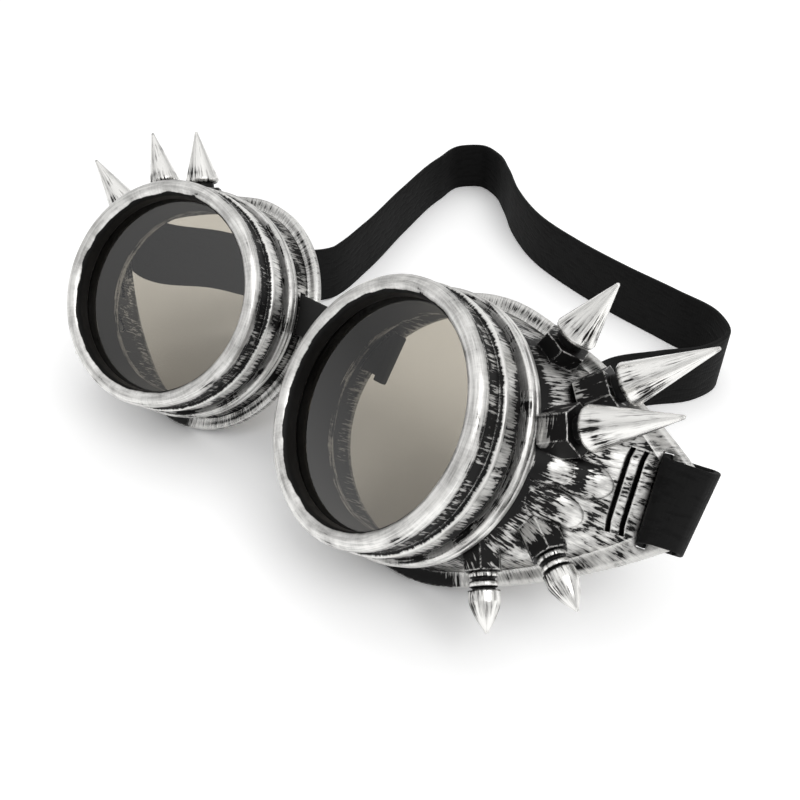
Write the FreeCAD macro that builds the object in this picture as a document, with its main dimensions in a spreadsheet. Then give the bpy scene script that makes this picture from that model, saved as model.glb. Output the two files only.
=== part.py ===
import FreeCAD, Part
import Sketcher
import math
import os

# A pair of spiked round goggles, lying on a table as they rest when put down: the cups lean back on
# the lower edge of their rear flanges, toed in towards each other, and the elastic head strap stands
# on its edge behind them. X runs from the wearer's one temple to the other, the lenses face -Y and
# look up, and Z is up from the table. Each cup is drawn in its own frame: x towards the temple,
# y back along the lens axis from the crest of the rim, z up. Lengths are in mm, angles in degrees.

doc = FreeCAD.newDocument("Goggles")
sheet = doc.addObject("Spreadsheet::Sheet", "Sizes")

sizes = {
    # how the cups stand
    "lean_angle": "39.7",
    "toe_angle": "11.4",
    "roll_angle": "9.5",
    "nose_room": "2.4",
    "origin_setback": "87.28",
    # the screw ring that holds the lens
    "aperture_radius": "25",
    "rim_round": "2.05",
    "rim_land": "0.5",
    "groove_depth": "0.55",
    "groove_length": "4.7",
    "ridge_rise": "0.6",
    "ridge_length": "0.8",
    "band_drop": "0.35",
    "band_length": "4.5",
    "recess_depth": "0.8",
    "recess_length": "1.4",
    # lens, seal and the neck of the cup
    "lens_recess": "2.3",
    "lens_thickness": "2",
    "lens_lip": "1.5",
    "lens_clearance": "0.05",
    "seal_thickness": "0.8",
    "neck_step": "2",
    "neck_wall": "2.2",
    "thread_clearance": "0.1",
    "seat_clearance": "0.1",
    # bead round the root of the neck
    "bead_gap": "0.3",
    "bead_step": "5.9",
    "bead_half": "1.925",
    "bead_edge": "0.5",
    "bead_groove": "0.4",
    # skirt and rear flange
    "skirt_step": "4.5",
    "skirt_wall": "2",
    "rear_depth": "31",
    "rear_slant": "11.3",
    "nasal_step": "9",
    "flank_angle": "70",
    "temple_step": "28",
    "temple_half": "8.5",
    "corner_share": "0.475",
    "lip_width": "2.8",
    "flange_thickness": "2",
    # slots through the temple wall
    "strap_slot_inset": "5.4",
    "strap_slot_width": "2.2",
    "vent_slot_inset": "11.5",
    "vent_slot_pitch": "2.35",
    "vent_slot_width": "0.9",
    "vent_slot_half": "8.8",
    # raised lobes on the temple side of the skirt
    "lobe_length": "6.5",
    "lobe_width": "3.6",
    "lobe_rise": "1.4",
    "lobe_tilt": "5",
    # studs, each with the seat of its boss on the skirt and the way it points
    "top_seat_angle": "46.5",
    "top_seat_share": "0.5171",
    "top_seat_rise": "4.12",
    "top_aim_angle": "52.9",
    "top_tilt_angle": "13.8",
    "upper_seat_angle": "26.9",
    "upper_seat_share": "0.569",
    "upper_seat_rise": "6.48",
    "upper_aim_angle": "34.6",
    "upper_tilt_angle": "-3.6",
    "side_seat_angle": "12.9",
    "side_seat_share": "0.1374",
    "side_seat_rise": "6.09",
    "side_aim_angle": "19",
    "side_tilt_angle": "4",
    "lower_seat_angle": "-24.6",
    "lower_seat_share": "0.4056",
    "lower_seat_rise": "5.55",
    "lower_aim_angle": "-41",
    "lower_tilt_angle": "0",
    "bottom_seat_angle": "-44.4",
    "bottom_seat_share": "0.2415",
    "bottom_seat_rise": "4.07",
    "bottom_aim_angle": "-64",
    "bottom_tilt_angle": "0",
    "boss_radius": "5.4",
    "boss_height": "7",
    "small_boss_radius": "4.2",
    "stud_wall": "3.6",
    # tall spikes and bullet studs
    "spike_radius": "4.65",
    "spike_round": "1.1",
    "spike_neck_radius": "3",
    "spike_neck_length": "1.7",
    "spike_tip_radius": "0.45",
    "long_spike_length": "19.3",
    "short_spike_length": "14.6",
    "bullet_radius": "3.3",
    "bullet_groove_radius": "2.35",
    "bullet_ring_half": "0.7",
    "bullet_groove_length": "0.5",
    "bullet_barrel_length": "2.2",
    "bullet_point_length": "5.6",
    "bullet_tip_radius": "0.5",
    # screws that hold the studs from inside the cup
    "screw_radius": "1.2",
    "screw_clearance": "0.1",
    "screw_reach": "2.6",
    "screw_head_radius": "2.3",
    "screw_head_height": "1.2",
    "screw_head_clearance": "0.4",
    # bridge band between the cups
    "bridge_rise": "9.5",
    "bridge_inset": "6",
    "bridge_half": "20",
    "bridge_half_width": "5",
    "bridge_thickness": "1.8",
    "bridge_tab_length": "2.2",
    "bridge_tab_half_width": "6.2",
    "bridge_tab_thickness": "2.6",
    "bridge_clearance": "0.35",
    # elastic head strap
    "strap_half_width": "9.5",
    "strap_thickness": "1.3",
    "strap_clearance": "0.4",
    "strap_loop_slack": "2",
    "strap_bend": "0.8",
    "strap_sewn_length": "10",
    "strap_recess": "0.3",
}
for row, (alias, number) in enumerate(sizes.items(), 1):
    sheet.set("A%d" % row, alias)
    sheet.set("B%d" % row, number)
    sheet.setAlias("B%d" % row, alias)
doc.recompute()


def cell(alias):
    return float(sheet.get(alias))


# A size is written as a sum of cells, such as "rim_round + lens_recess": its number, and the same
# sum as an expression for the object that it drives.
def total(words):
    value = 0.0
    sign = 1
    for word in words.split():
        if word in "+-":
            sign = 1 if word == "+" else -1
        elif word != "zero":
            value += sign * cell(word)
    return value


def bound(words):
    plain = {"+": "+", "-": "-", "zero": "0"}
    return " ".join(plain.get(word, "Sizes." + word) for word in words.split())


def vector(x, y, z):
    return FreeCAD.Vector(x, y, z)


def turn(axis, angle):
    return FreeCAD.Placement(vector(0, 0, 0), FreeCAD.Rotation(axis, angle))


def shift(x, y, z):
    return FreeCAD.Placement(vector(x, y, z), FreeCAD.Rotation())


xAxis = vector(1, 0, 0)
yAxis = vector(0, 1, 0)
zAxis = vector(0, 0, 1)


# Derived radii and depths along the lens axis, as sums of cells
neckRadius = "aperture_radius + neck_step"
beadRadius = "aperture_radius + bead_step"
skirtRadius = "aperture_radius + skirt_step"
nasalRadius = "aperture_radius + nasal_step"
templeReach = "aperture_radius + temple_step"
halfSpacing = nasalRadius + " + nose_room"
rimRadius = "aperture_radius + rim_round + rim_round"
grooveRadius = rimRadius + " - groove_depth"
ridgeRadius = rimRadius + " + ridge_rise"
bandRadius = ridgeRadius + " - band_drop"
grooveStart = "rim_round + rim_land"
grooveEnd = grooveStart + " + groove_length"
ridgeEnd = grooveEnd + " + ridge_length"
bandEnd = ridgeEnd + " + band_length"
ringEnd = bandEnd + " + recess_length"
lensFront = "rim_round + lens_recess"
lensStop = lensFront + " - lens_clearance"
lensBack = lensFront + " + lens_thickness"
neckFront = lensBack + " + seal_thickness"
lensRadius = "aperture_radius + lens_lip"
ringBore = neckRadius + " + thread_clearance"
neckBore = neckRadius + " - neck_wall"
beadStart = ringEnd + " + bead_gap"
beadMiddle = beadStart + " + bead_half"
beadEnd = beadMiddle + " + bead_half"
skirtStart = beadEnd + " - bead_edge"
strapSlotPlace = templeReach + " - strap_slot_inset"
ventSlotPlace = templeReach + " - vent_slot_inset"
bridgeDepth = "rear_depth - bridge_inset"


# The goggles' own frame, between the lens rims, then the right cup's frame. The height is the one at
# which the round lower edge of the rear flange touches the table.
rimSetback = total("rim_round")
lean = turn(xAxis, -cell("lean_angle"))
stance = turn(zAxis, -cell("toe_angle")).multiply(turn(yAxis, -cell("roll_angle")))
cupInGoggles = shift(total(halfSpacing), 0, 0).multiply(stance).multiply(shift(0, -rimSetback, 0))
cupLeant = lean.multiply(cupInGoggles)
flangeCentre = cupLeant.multVec(vector(0, cell("rear_depth"), 0))
slantTurn = cupLeant.multiply(turn(zAxis, cell("rear_slant"))).Rotation
flangeDrop = total(nasalRadius) * math.hypot(slantTurn.multVec(xAxis).z, slantTurn.multVec(zAxis).z)
restHeight = flangeDrop - flangeCentre.z
goggles = shift(0, -cell("origin_setback"), restHeight).multiply(lean)
rightCup = goggles.multiply(cupInGoggles)


def newBody(label, placement):
    body = doc.addObject("PartDesign::Body", label)
    body.Label = label
    body.Placement = placement
    return body


def newSketch(body, name, role):
    sketch = body.newObject("Sketcher::SketchObject", name)
    plane = next(item for item in body.Origin.OriginFeatures if item.Role == role)
    sketch.AttachmentSupport = (plane, [""])
    sketch.MapMode = "FlatFace"
    return sketch


def hold(sketch, kind, places, words):
    index = sketch.addConstraint(Sketcher.Constraint(kind, *places, total(words)))
    sketch.setExpression("Constraints[%d]" % index, bound(words))


# A closed half section with a corner for each pair of sums: radius, then height along the axis. An
# edge that is an arc is given by the number of its first corner, the sum for the height of its centre
# and the way it turns, 1 for anticlockwise. Between two corners of one radius it is a half circle.
def halfSection(body, name, corners, arcs):
    sketch = newSketch(body, name, "XY_Plane")
    points = [vector(total(x), total(y), 0) for x, y in corners]
    starts = []
    ends = []
    for index, first in enumerate(points):
        second = points[(index + 1) % len(points)]
        if index not in arcs:
            geo = sketch.addGeometry(Part.LineSegment(first, second))
            starts.append((geo, 1))
            ends.append((geo, 2))
            continue
        height, sense = total(arcs[index][0]), arcs[index][1]
        chord = second - first
        middle = (first + second) * 0.5
        across = (height - middle.y) / chord.x if chord.x else 0.0
        centre = vector(middle.x - across * chord.y, height, 0)
        angles = [math.atan2(p.y - centre.y, p.x - centre.x) for p in (first, second)]
        circle = Part.Circle(centre, zAxis, (first - centre).Length)
        if sense > 0:
            geo = sketch.addGeometry(Part.ArcOfCircle(circle, angles[0], angles[1]))
            starts.append((geo, 1))
            ends.append((geo, 2))
        else:
            geo = sketch.addGeometry(Part.ArcOfCircle(circle, angles[1], angles[0]))
            starts.append((geo, 2))
            ends.append((geo, 1))
    for index in range(len(points)):
        following = starts[(index + 1) % len(points)]
        sketch.addConstraint(Sketcher.Constraint("Coincident", *ends[index], *following))
    for start, (x, y) in zip(starts, corners):
        if x == "zero":
            sketch.addConstraint(Sketcher.Constraint("PointOnObject", *start, -2))
        else:
            hold(sketch, "DistanceX", (-1, 1, *start), x)
        if y == "zero":
            sketch.addConstraint(Sketcher.Constraint("PointOnObject", *start, -1))
        else:
            hold(sketch, "DistanceY", (-1, 1, *start), y)
    for index, (height, sense) in arcs.items():
        radius = corners[index][0]
        centre = (-1, 1, starts[index][0], 3)
        if radius == corners[index + 1][0]:
            hold(sketch, "DistanceX", centre, radius)
        else:
            hold(sketch, "DistanceY", centre, height)
    return sketch


def turned(body, name, corners, arcs):
    feature = body.newObject("PartDesign::Revolution", name)
    sketch = halfSection(body, name + "_section", corners, arcs)
    feature.Profile = sketch
    feature.ReferenceAxis = (sketch, ["V_Axis"])
    feature.Angle = 360
    return feature


def turnedBody(label, placement, corners, arcs):
    body = newBody(label, placement)
    turned(body, label + "_turned", corners, arcs)
    return body


# Screw ring: half-round rim, shallow groove, thin ridge, brushed band and a recess before the bead
ring = turnedBody("right_lens_ring", rightCup, [
    ("aperture_radius", "rim_round"),
    (rimRadius, "rim_round"),
    (rimRadius, grooveStart),
    (grooveRadius, grooveStart + " + groove_depth"),
    (grooveRadius, grooveEnd + " - groove_depth"),
    (ridgeRadius, grooveEnd),
    (ridgeRadius, ridgeEnd),
    (bandRadius, ridgeEnd + " + band_drop"),
    (bandRadius, bandEnd),
    (bandRadius + " - recess_depth", bandEnd + " + recess_depth"),
    (bandRadius + " - recess_depth", ringEnd),
    (ringBore, ringEnd),
    (ringBore, lensBack),
    (lensRadius + " + seat_clearance", lensBack),
    (lensRadius + " + seat_clearance", lensStop),
    ("aperture_radius", lensStop),
], {0: ("rim_round", 1)})

# Smoke lens, a flat disc, and the flat seal between it and the neck of the cup
lens = turnedBody("right_lens", rightCup, [
    ("zero", lensFront),
    (lensRadius, lensFront),
    (lensRadius, lensBack),
    ("zero", lensBack),
], {})
seal = turnedBody("right_lens_seal", rightCup, [
    (neckBore, lensBack),
    (lensRadius, lensBack),
    (lensRadius, neckFront),
    (neckBore, neckFront),
], {})


# A section across the lens axis, or on the slanted plane of the rear flange
def section(body, name, depth, slanted):
    sketch = newSketch(body, name, "XZ_Plane")
    angle = cell("rear_slant") if slanted else 0
    offset = FreeCAD.Placement(vector(0, 0, -total(depth)), FreeCAD.Rotation(yAxis, angle))
    sketch.AttachmentOffset = offset
    sketch.setExpression("AttachmentOffset.Base.z", "-(" + bound(depth) + ")")
    if slanted:
        sketch.setExpression("AttachmentOffset.Rotation.Angle", "Sizes.rear_slant")
    return sketch


def roundSection(body, name, depth, radius):
    sketch = section(body, name, depth, False)
    circle = sketch.addGeometry(Part.Circle(vector(0, 0, 0), zAxis, total(radius)))
    sketch.addConstraint(Sketcher.Constraint("Coincident", circle, 3, -1, 1))
    hold(sketch, "Radius", (circle,), radius)
    return sketch


# The egg-shaped outline of the flange, drawn inwards by an inset: a round nasal side, two flatter
# flanks tangent to it and a short straight end at the temple.
def outline(inset):
    reach = total(templeReach) - total(inset)
    half = cell("temple_half") - cell("corner_share") * total(inset)
    nasal = total(nasalRadius) - total(inset)
    angle = math.radians(cell("flank_angle"))
    along = reach * math.cos(angle) + half * math.sin(angle)
    beyond = (reach ** 2 + half ** 2 - nasal ** 2) / (2 * (nasal - along))
    return nasal, reach, half, angle, beyond


def eggSection(body, name, depth, inset):
    nasal, reach, half, angle, beyond = outline(inset)
    sketch = section(body, name, depth, True)
    flank = nasal + beyond
    corner = math.atan2(half + beyond * math.sin(angle), reach + beyond * math.cos(angle))
    low = vector(-beyond * math.cos(angle), beyond * math.sin(angle), 0)
    high = vector(low.x, -low.y, 0)
    nose = Part.Circle(vector(0, 0, 0), zAxis, nasal)
    back = sketch.addGeometry(Part.ArcOfCircle(nose, angle, 2 * math.pi - angle))
    under = sketch.addGeometry(Part.ArcOfCircle(Part.Circle(low, zAxis, flank), -angle, -corner))
    end = sketch.addGeometry(Part.LineSegment(vector(reach, -half, 0), vector(reach, half, 0)))
    over = sketch.addGeometry(Part.ArcOfCircle(Part.Circle(high, zAxis, flank), corner, angle))
    sketch.addConstraint(Sketcher.Constraint("Coincident", back, 3, -1, 1))
    sketch.addConstraint(Sketcher.Constraint("Tangent", back, 2, under, 1))
    sketch.addConstraint(Sketcher.Constraint("Coincident", under, 2, end, 1))
    sketch.addConstraint(Sketcher.Constraint("Coincident", end, 2, over, 1))
    sketch.addConstraint(Sketcher.Constraint("Tangent", over, 2, back, 1))
    sketch.addConstraint(Sketcher.Constraint("Symmetric", end, 1, end, 2, -1))
    sketch.addConstraint(Sketcher.Constraint("Symmetric", back, 1, back, 2, -1))
    inward = "(" + bound(inset) + ")"
    nasalWords = bound(nasalRadius) + " - " + inward
    driven = [
        ("Radius", (back,), nasal, nasalWords),
        ("DistanceX", (-1, 1, end, 1), reach, bound(templeReach) + " - " + inward),
        ("DistanceY", (end, 1, end, 2), 2 * half,
         "2 * (Sizes.temple_half - Sizes.corner_share * " + inward + ")"),
        ("DistanceY", (-1, 1, back, 1), nasal * math.sin(angle),
         "(" + nasalWords + ") * sin(Sizes.flank_angle)"),
    ]
    for kind, places, value, words in driven:
        index = sketch.addConstraint(Sketcher.Constraint(kind, *places, value))
        sketch.setExpression("Constraints[%d]" % index, words)
    return sketch


# How far the egg outline lies from the lens axis in a direction, seen along that axis
def eggRadius(angle, inset):
    nasal, reach, half, tangent, beyond = outline(inset)
    angle = abs(angle)
    if angle > tangent:
        return nasal
    if math.tan(angle) * reach < half:
        return reach / math.cos(angle)
    lean = -beyond * math.cos(angle - tangent)
    return lean + math.sqrt(lean ** 2 - beyond ** 2 + (nasal + beyond) ** 2)


# The skirt in a direction round the lens axis: that way out, and its ends at the bead and at the flange
def skirtLine(degrees):
    angle = math.radians(degrees)
    radial = vector(math.cos(angle), 0, math.sin(angle))
    front = radial * total(skirtRadius) + vector(0, total(skirtStart), 0)
    reach = eggRadius(angle, "lip_width")
    slope = math.tan(math.radians(cell("rear_slant"))) * math.cos(angle)
    rear = radial * reach + vector(0, cell("rear_depth") + slope * reach, 0)
    return radial, front, rear


# Where a stud's boss ends, in the cup's frame, with Z along the stud
def studSeat(stud):
    radial, front, rear = skirtLine(cell(stud + "_seat_angle"))
    aim = math.radians(cell(stud + "_aim_angle"))
    tilt = math.radians(cell(stud + "_tilt_angle"))
    seat = front + (rear - front) * cell(stud + "_seat_share") + radial * cell(stud + "_seat_rise")
    way = vector(math.cos(aim) * math.cos(tilt), -math.sin(tilt), math.sin(aim) * math.cos(tilt))
    return FreeCAD.Placement(seat, FreeCAD.Rotation(zAxis, way))


spikes = {"top": "short_spike_length", "upper": "long_spike_length", "side": "long_spike_length"}
bullets = ("lower", "bottom")
studs = tuple(spikes) + bullets

# Cup: neck and bead turned, skirt lofted from the bead to the egg outline, flange round its rear edge
cup = newBody("right_cup_shell", rightCup)
turned(cup, "neck", [
    (neckBore, neckFront),
    (neckRadius, neckFront),
    (neckRadius, beadStart),
    (beadRadius + " - bead_edge", beadStart),
    (beadRadius, beadStart + " + bead_edge"),
    (beadRadius, beadMiddle + " - bead_groove"),
    (beadRadius + " - bead_groove", beadMiddle),
    (beadRadius, beadMiddle + " + bead_groove"),
    (beadRadius, beadEnd + " - bead_edge"),
    (beadRadius + " - bead_edge", beadEnd),
    (neckBore, beadEnd),
], {})
skirt = cup.newObject("PartDesign::AdditiveLoft", "skirt")
skirt.Profile = roundSection(cup, "skirt_front", skirtStart, skirtRadius)
skirt.Sections = [(eggSection(cup, "skirt_rear", "rear_depth", "lip_width"), [""])]
flange = cup.newObject("PartDesign::Pad", "flange")
flange.Profile = eggSection(cup, "flange_outline", "rear_depth", "zero")
flange.setExpression("Length", "Sizes.flange_thickness")

# Six-sided bosses under the studs
for stud in studs:
    boss = cup.newObject("PartDesign::AdditivePrism", stud + "_boss")
    boss.Polygon = 6
    radius = "boss_radius" if stud in spikes else "small_boss_radius"
    boss.setExpression("Circumradius", "Sizes." + radius)
    boss.setExpression("Height", "Sizes.boss_height")
    boss.Placement = studSeat(stud).multiply(shift(0, 0, -cell("boss_height")))

# Raised lobes that lie along the temple side of the skirt like scales, higher at the temple end:
# direction, and share of the way back at which that end lies
lobes = {"fore": (0, 0.328), "aft": (-0.5, 0.583), "low": (-12, 0.522), "under": (-31, 0.638)}
for name, (degrees, share) in lobes.items():
    radial, front, rear = skirtLine(degrees)
    along = (rear - front).normalize()
    across = vector(-radial.z, 0, radial.x)
    lobe = cup.newObject("PartDesign::AdditiveEllipsoid", name + "_lobe")
    lobe.setExpression("Radius1", "Sizes.lobe_rise")
    lobe.setExpression("Radius2", "Sizes.lobe_length")
    lobe.setExpression("Radius3", "Sizes.lobe_width")
    rotation = FreeCAD.Rotation(along, across, along.cross(across), "ZXY")
    middle = front + (rear - front) * share - along * cell("lobe_length")
    lobe.Placement = FreeCAD.Placement(middle, rotation).multiply(turn(yAxis, -cell("lobe_tilt")))

# Hollow, open to the back
hollow = cup.newObject("PartDesign::SubtractiveLoft", "hollow")
hollow.Profile = roundSection(cup, "hollow_front", beadMiddle, skirtRadius + " - skirt_wall")
hollowRear = eggSection(cup, "hollow_rear", "rear_depth + flange_thickness", "lip_width + skirt_wall")
hollow.Sections = [(hollowRear, [""])]

# Screw holes through the bosses, with a flat for each screw head inside
for stud in studs:
    hole = cup.newObject("PartDesign::SubtractiveCylinder", stud + "_hole")
    hole.setExpression("Radius", "Sizes.screw_radius + Sizes.screw_clearance")
    hole.setExpression("Height", "2 * Sizes.boss_height")
    hole.Placement = studSeat(stud).multiply(shift(0, 0, -2 * cell("boss_height")))
    flat = cup.newObject("PartDesign::SubtractiveCylinder", stud + "_flat")
    flat.setExpression("Radius", "Sizes.screw_head_radius + Sizes.screw_head_clearance")
    flat.setExpression("Height", "Sizes.boss_height")
    flat.Placement = studSeat(stud).multiply(shift(0, 0, -cell("stud_wall") - cell("boss_height")))

# The slanted plane of the rear flange in the cup's frame: x along it, y back out of it
rearPlane = shift(0, cell("rear_depth"), 0).multiply(turn(zAxis, cell("rear_slant")))


def slot(name, place, width, half):
    cut = cup.newObject("PartDesign::SubtractiveBox", name)
    cut.setExpression("Length", bound(width))
    cut.setExpression("Width", "Sizes.rear_depth")
    cut.setExpression("Height", "2 * (" + bound(half) + ")")
    corner = shift(total(place) - total(width) / 2, -cell("rear_depth") / 2, -total(half))
    cut.Placement = rearPlane.multiply(corner)


slot("strap_slot", strapSlotPlace, "strap_slot_width", "strap_half_width + strap_clearance")
slot("vent_slot", ventSlotPlace, "vent_slot_width", "vent_slot_half")
slot("second_vent_slot", ventSlotPlace + " + vent_slot_pitch", "vent_slot_width", "vent_slot_half")

# Shallow recess across the rear of the flange where the strap lies, below the seat for the face
recessHalf = "strap_half_width + strap_clearance + strap_clearance"
recess = cup.newObject("PartDesign::SubtractiveBox", "strap_recess")
recess.setExpression("Length", bound(templeReach))
recess.setExpression("Width", "Sizes.strap_recess + Sizes.flange_thickness")
recess.setExpression("Height", "2 * (" + bound(recessHalf) + ")")
recess.Placement = rearPlane.multiply(
    shift(total(templeReach) / 2, -cell("strap_recess"), -total(recessHalf)))

# Slot for the bridge band and a seat for its tab behind it, level with the goggles rather than with
# the rolled cup
bridgeGap = "bridge_clearance + bridge_clearance"
tabStart = "bridge_half - bridge_tab_length"


def bridgeCut(name, start, length, half, thickness):
    cut = cup.newObject("PartDesign::SubtractiveBox", name)
    cut.setExpression("Length", bound(length))
    cut.setExpression("Width", bound(thickness + " + " + bridgeGap))
    cut.setExpression("Height", "2 * Sizes." + half + " + " + bound(bridgeGap))
    cut.Placement = cupInGoggles.inverse().multiply(shift(
        total(start),
        total(bridgeDepth) - cell(thickness) / 2 - cell("bridge_clearance"),
        cell("bridge_rise") - cell(half) - cell("bridge_clearance")))


bridgeCut("bridge_slot", "zero", tabStart, "bridge_half_width", "bridge_thickness")
bridgeCut("bridge_tab_seat", tabStart + " - bridge_clearance", "bridge_tab_length + " + bridgeGap,
          "bridge_tab_half_width", "bridge_tab_thickness")
doc.recompute()


# A stud's frame on the table, with Y along the stud as the half sections are drawn
def studFrame(stud):
    return rightCup.multiply(studSeat(stud)).multiply(turn(xAxis, 90))


# Tall spikes: neck, rounded foot, straight cone and a blunt tip, with a blind hole for the screw
def spike(stud):
    length = "spike_neck_length + " + spikes[stud]
    return turnedBody("right_" + stud + "_spike", studFrame(stud), [
        ("screw_radius + screw_clearance", "zero"),
        ("spike_neck_radius", "zero"),
        ("spike_neck_radius", "spike_neck_length"),
        ("spike_radius - spike_round", "spike_neck_length"),
        ("spike_radius", "spike_neck_length + spike_round"),
        ("spike_tip_radius", length + " - spike_tip_radius"),
        ("zero", length),
        ("zero", "screw_reach + screw_clearance"),
        ("screw_radius + screw_clearance", "screw_reach + screw_clearance"),
    ], {3: ("spike_neck_length + spike_round", 1), 5: (length + " - spike_tip_radius", 1)})


# Bullet studs: a neck of two half-round rings, a short barrel and a swelling point
def bullet(stud):
    firstRing = "bullet_ring_half"
    firstEnd = firstRing + " + bullet_ring_half"
    secondStart = firstEnd + " + bullet_groove_length"
    secondRing = secondStart + " + bullet_ring_half"
    secondEnd = secondRing + " + bullet_ring_half"
    barrelStart = secondEnd + " + bullet_groove_length"
    barrelEnd = barrelStart + " + bullet_barrel_length"
    pointEnd = barrelEnd + " + bullet_point_length"
    return turnedBody("right_" + stud + "_bullet", studFrame(stud), [
        ("screw_radius + screw_clearance", "zero"),
        ("bullet_groove_radius", "zero"),
        ("bullet_groove_radius", firstEnd),
        ("bullet_groove_radius", secondStart),
        ("bullet_groove_radius", secondEnd),
        ("bullet_groove_radius", barrelStart),
        ("bullet_radius", barrelStart),
        ("bullet_radius", barrelEnd),
        ("bullet_tip_radius", pointEnd),
        ("zero", pointEnd + " + bullet_tip_radius"),
        ("zero", "screw_reach + screw_clearance"),
        ("screw_radius + screw_clearance", "screw_reach + screw_clearance"),
    ], {1: (firstRing, 1), 3: (secondRing, 1), 7: (firstEnd, 1), 8: (pointEnd, 1)})


# Screws with a flat round head, through the wall of the cup into the foot of each stud
def screw(stud):
    frame = studFrame(stud).multiply(shift(0, -total("stud_wall + screw_head_height"), 0))
    return turnedBody("right_" + stud + "_screw", frame, [
        ("zero", "zero"),
        ("screw_head_radius", "zero"),
        ("screw_head_radius", "screw_head_height"),
        ("screw_radius", "screw_head_height"),
        ("screw_radius", "screw_head_height + stud_wall + screw_reach"),
        ("zero", "screw_head_height + stud_wall + screw_reach"),
    ], {})


screws = doc.addObject("Part::Compound", "right_stud_screws")
screws.Links = [screw(stud) for stud in studs]
rightPieces = [cup, ring, lens, seal] + [spike(stud) for stud in spikes]
rightPieces += [bullet(stud) for stud in bullets] + [screws]

# The left cup and all that it carries is the mirror image of the right one
leftPieces = []
for piece in rightPieces:
    mirrored = doc.addObject("Part::Mirroring", piece.Label.replace("right", "left"))
    mirrored.Source = piece
    mirrored.Normal = xAxis
    leftPieces.append(mirrored)

# Bridge band: a flat strip through both nasal slots, with a thicker tab at each end inside the cups
bridgeFrame = goggles.multiply(shift(0, total(bridgeDepth), cell("bridge_rise")))
bridge = newBody("bridge_band", bridgeFrame)


def bridgeBlock(name, start, length, half, thickness):
    block = bridge.newObject("PartDesign::AdditiveBox", name)
    block.setExpression("Length", length)
    block.setExpression("Width", "Sizes." + thickness)
    block.setExpression("Height", "2 * Sizes." + half)
    block.Placement = shift(start, -cell(thickness) / 2, -cell(half))


bridgeBlock("strip", -cell("bridge_half"), "2 * Sizes.bridge_half", "bridge_half_width",
            "bridge_thickness")
for name, start in (("left_tab", -cell("bridge_half")), ("right_tab", total(tabStart))):
    bridgeBlock(name, start, "Sizes.bridge_tab_length", "bridge_tab_half_width",
                "bridge_tab_thickness")

# Head strap. At each cup it comes in behind the flange, passes out through the slot, goes round the
# temple end of the flange and is sewn to itself. Between the cups it lies in slack curves, standing
# on its lower edge. Each place is one of its middle line, from the right cup to the left one: two
# lengths from the point on the table below the middle of the lens rims, and how far it is lifted.
strapRoute = [
    (71, 38, 12.5), (60, 50, 5.5), (51, 65, 1), (49, 81, 0), (58, 95, 0), (66.5, 106, 0),
    (68.5, 117, 0), (61, 126, 0), (46, 130, 0), (26, 134, 0), (4, 140, 0),
    (-17, 148.5, 0), (-37, 163, 0), (-53, 179, 0), (-66, 190, 0), (-77, 193.5, 0),
    (-83.5, 187.5, 0), (-82, 170, 0), (-72.5, 135, 0), (-61.5, 101, 0), (-57, 80, 0),
    (-61, 60, 4), (-71, 43, 11.5),
]
strapSections = 72
strapPlane = rightCup.multiply(rearPlane)
layer = cell("strap_clearance") + 1.5 * cell("strap_thickness")
sewnPlace = total(templeReach) - cell("strap_sewn_length")
sewnStart = strapPlane.multVec(vector(total(templeReach), layer, 0))
sewnEnd = strapPlane.multVec(vector(sewnPlace, layer, 0))
sewnWay = strapPlane.Rotation.multVec(xAxis)
slotUp = strapPlane.Rotation.multVec(zAxis)


def mirror(point):
    return vector(-point.x, point.y, point.z)


def strapBand():
    half = cell("strap_half_width")
    thick = cell("strap_thickness") / 2
    table = [vector(x, y - cell("origin_setback"), half + lift) for x, y, lift in strapRoute]
    sewn = [sewnStart, (sewnStart + sewnEnd) * 0.5, sewnEnd]
    points = sewn + table + [mirror(point) for point in reversed(sewn)]
    line = Part.BSplineCurve()
    line.interpolate(points)
    first, last = line.FirstParameter, line.LastParameter
    knots = [line.parameter(point) for point in points]
    wires = []
    for index in range(strapSections + 1):
        value = first + (last - first) * index / strapSections
        turnIn = min(1.0, max(0.0, (value - knots[2]) / (knots[5] - knots[2])))
        turnOut = min(1.0, max(0.0, (knots[-3] - value) / (knots[-3] - knots[-6])))
        up = slotUp * (1 - turnIn) + mirror(slotUp) * (1 - turnOut) + zAxis * (turnIn + turnOut - 1)
        centre = line.value(value)
        ahead = line.tangent(value)[0]
        if index == 0:
            ahead = sewnWay * -1
        elif index == strapSections:
            ahead = mirror(sewnWay)
        up = (up - ahead * up.dot(ahead)).normalize()
        side = ahead.cross(up).normalize()
        centre.z = max(centre.z, half * abs(up.z) + thick * abs(side.z))
        corners = [up * half + side * thick, up * half - side * thick,
                   up * -half - side * thick, up * -half + side * thick]
        wires.append(Part.makePolygon([centre + corner for corner in corners + corners[:1]]))
    print("strap middle line %.1f mm long" % line.length())
    return Part.makeLoft(wires, True, True)


# A block with its upright edges rounded
def softBlock(low, high, bend):
    block = Part.makeBox(high.x - low.x, high.y - low.y, high.z - low.z, low)
    upright = [edge for edge in block.Edges if abs(edge.tangentAt(edge.FirstParameter).z) > 0.5]
    return block.makeFillet(bend, upright)


# The loop of strap round the temple end of the flange, in the frame of the flange's rear plane
def strapLoop():
    thick = cell("strap_thickness")
    half = cell("strap_half_width")
    slack = cell("strap_loop_slack")
    bend = cell("strap_bend")
    low = vector(total(strapSlotPlace) - thick / 2, -cell("flange_thickness") - slack - thick, -half)
    high = vector(total(templeReach) + slack + thick, cell("strap_clearance") + thick, half)
    step = vector(thick, thick, 0)
    loop = softBlock(low, high, bend + thick).cut(softBlock(low + step, high - step, bend))
    loop.Placement = strapPlane
    return loop


strap = doc.addObject("Part::Feature", "head_strap")
rightLoop = strapLoop()
leftLoop = rightLoop.mirror(vector(0, 0, 0), xAxis)
strap.Shape = strapBand().fuse([rightLoop, leftLoop])

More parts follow.
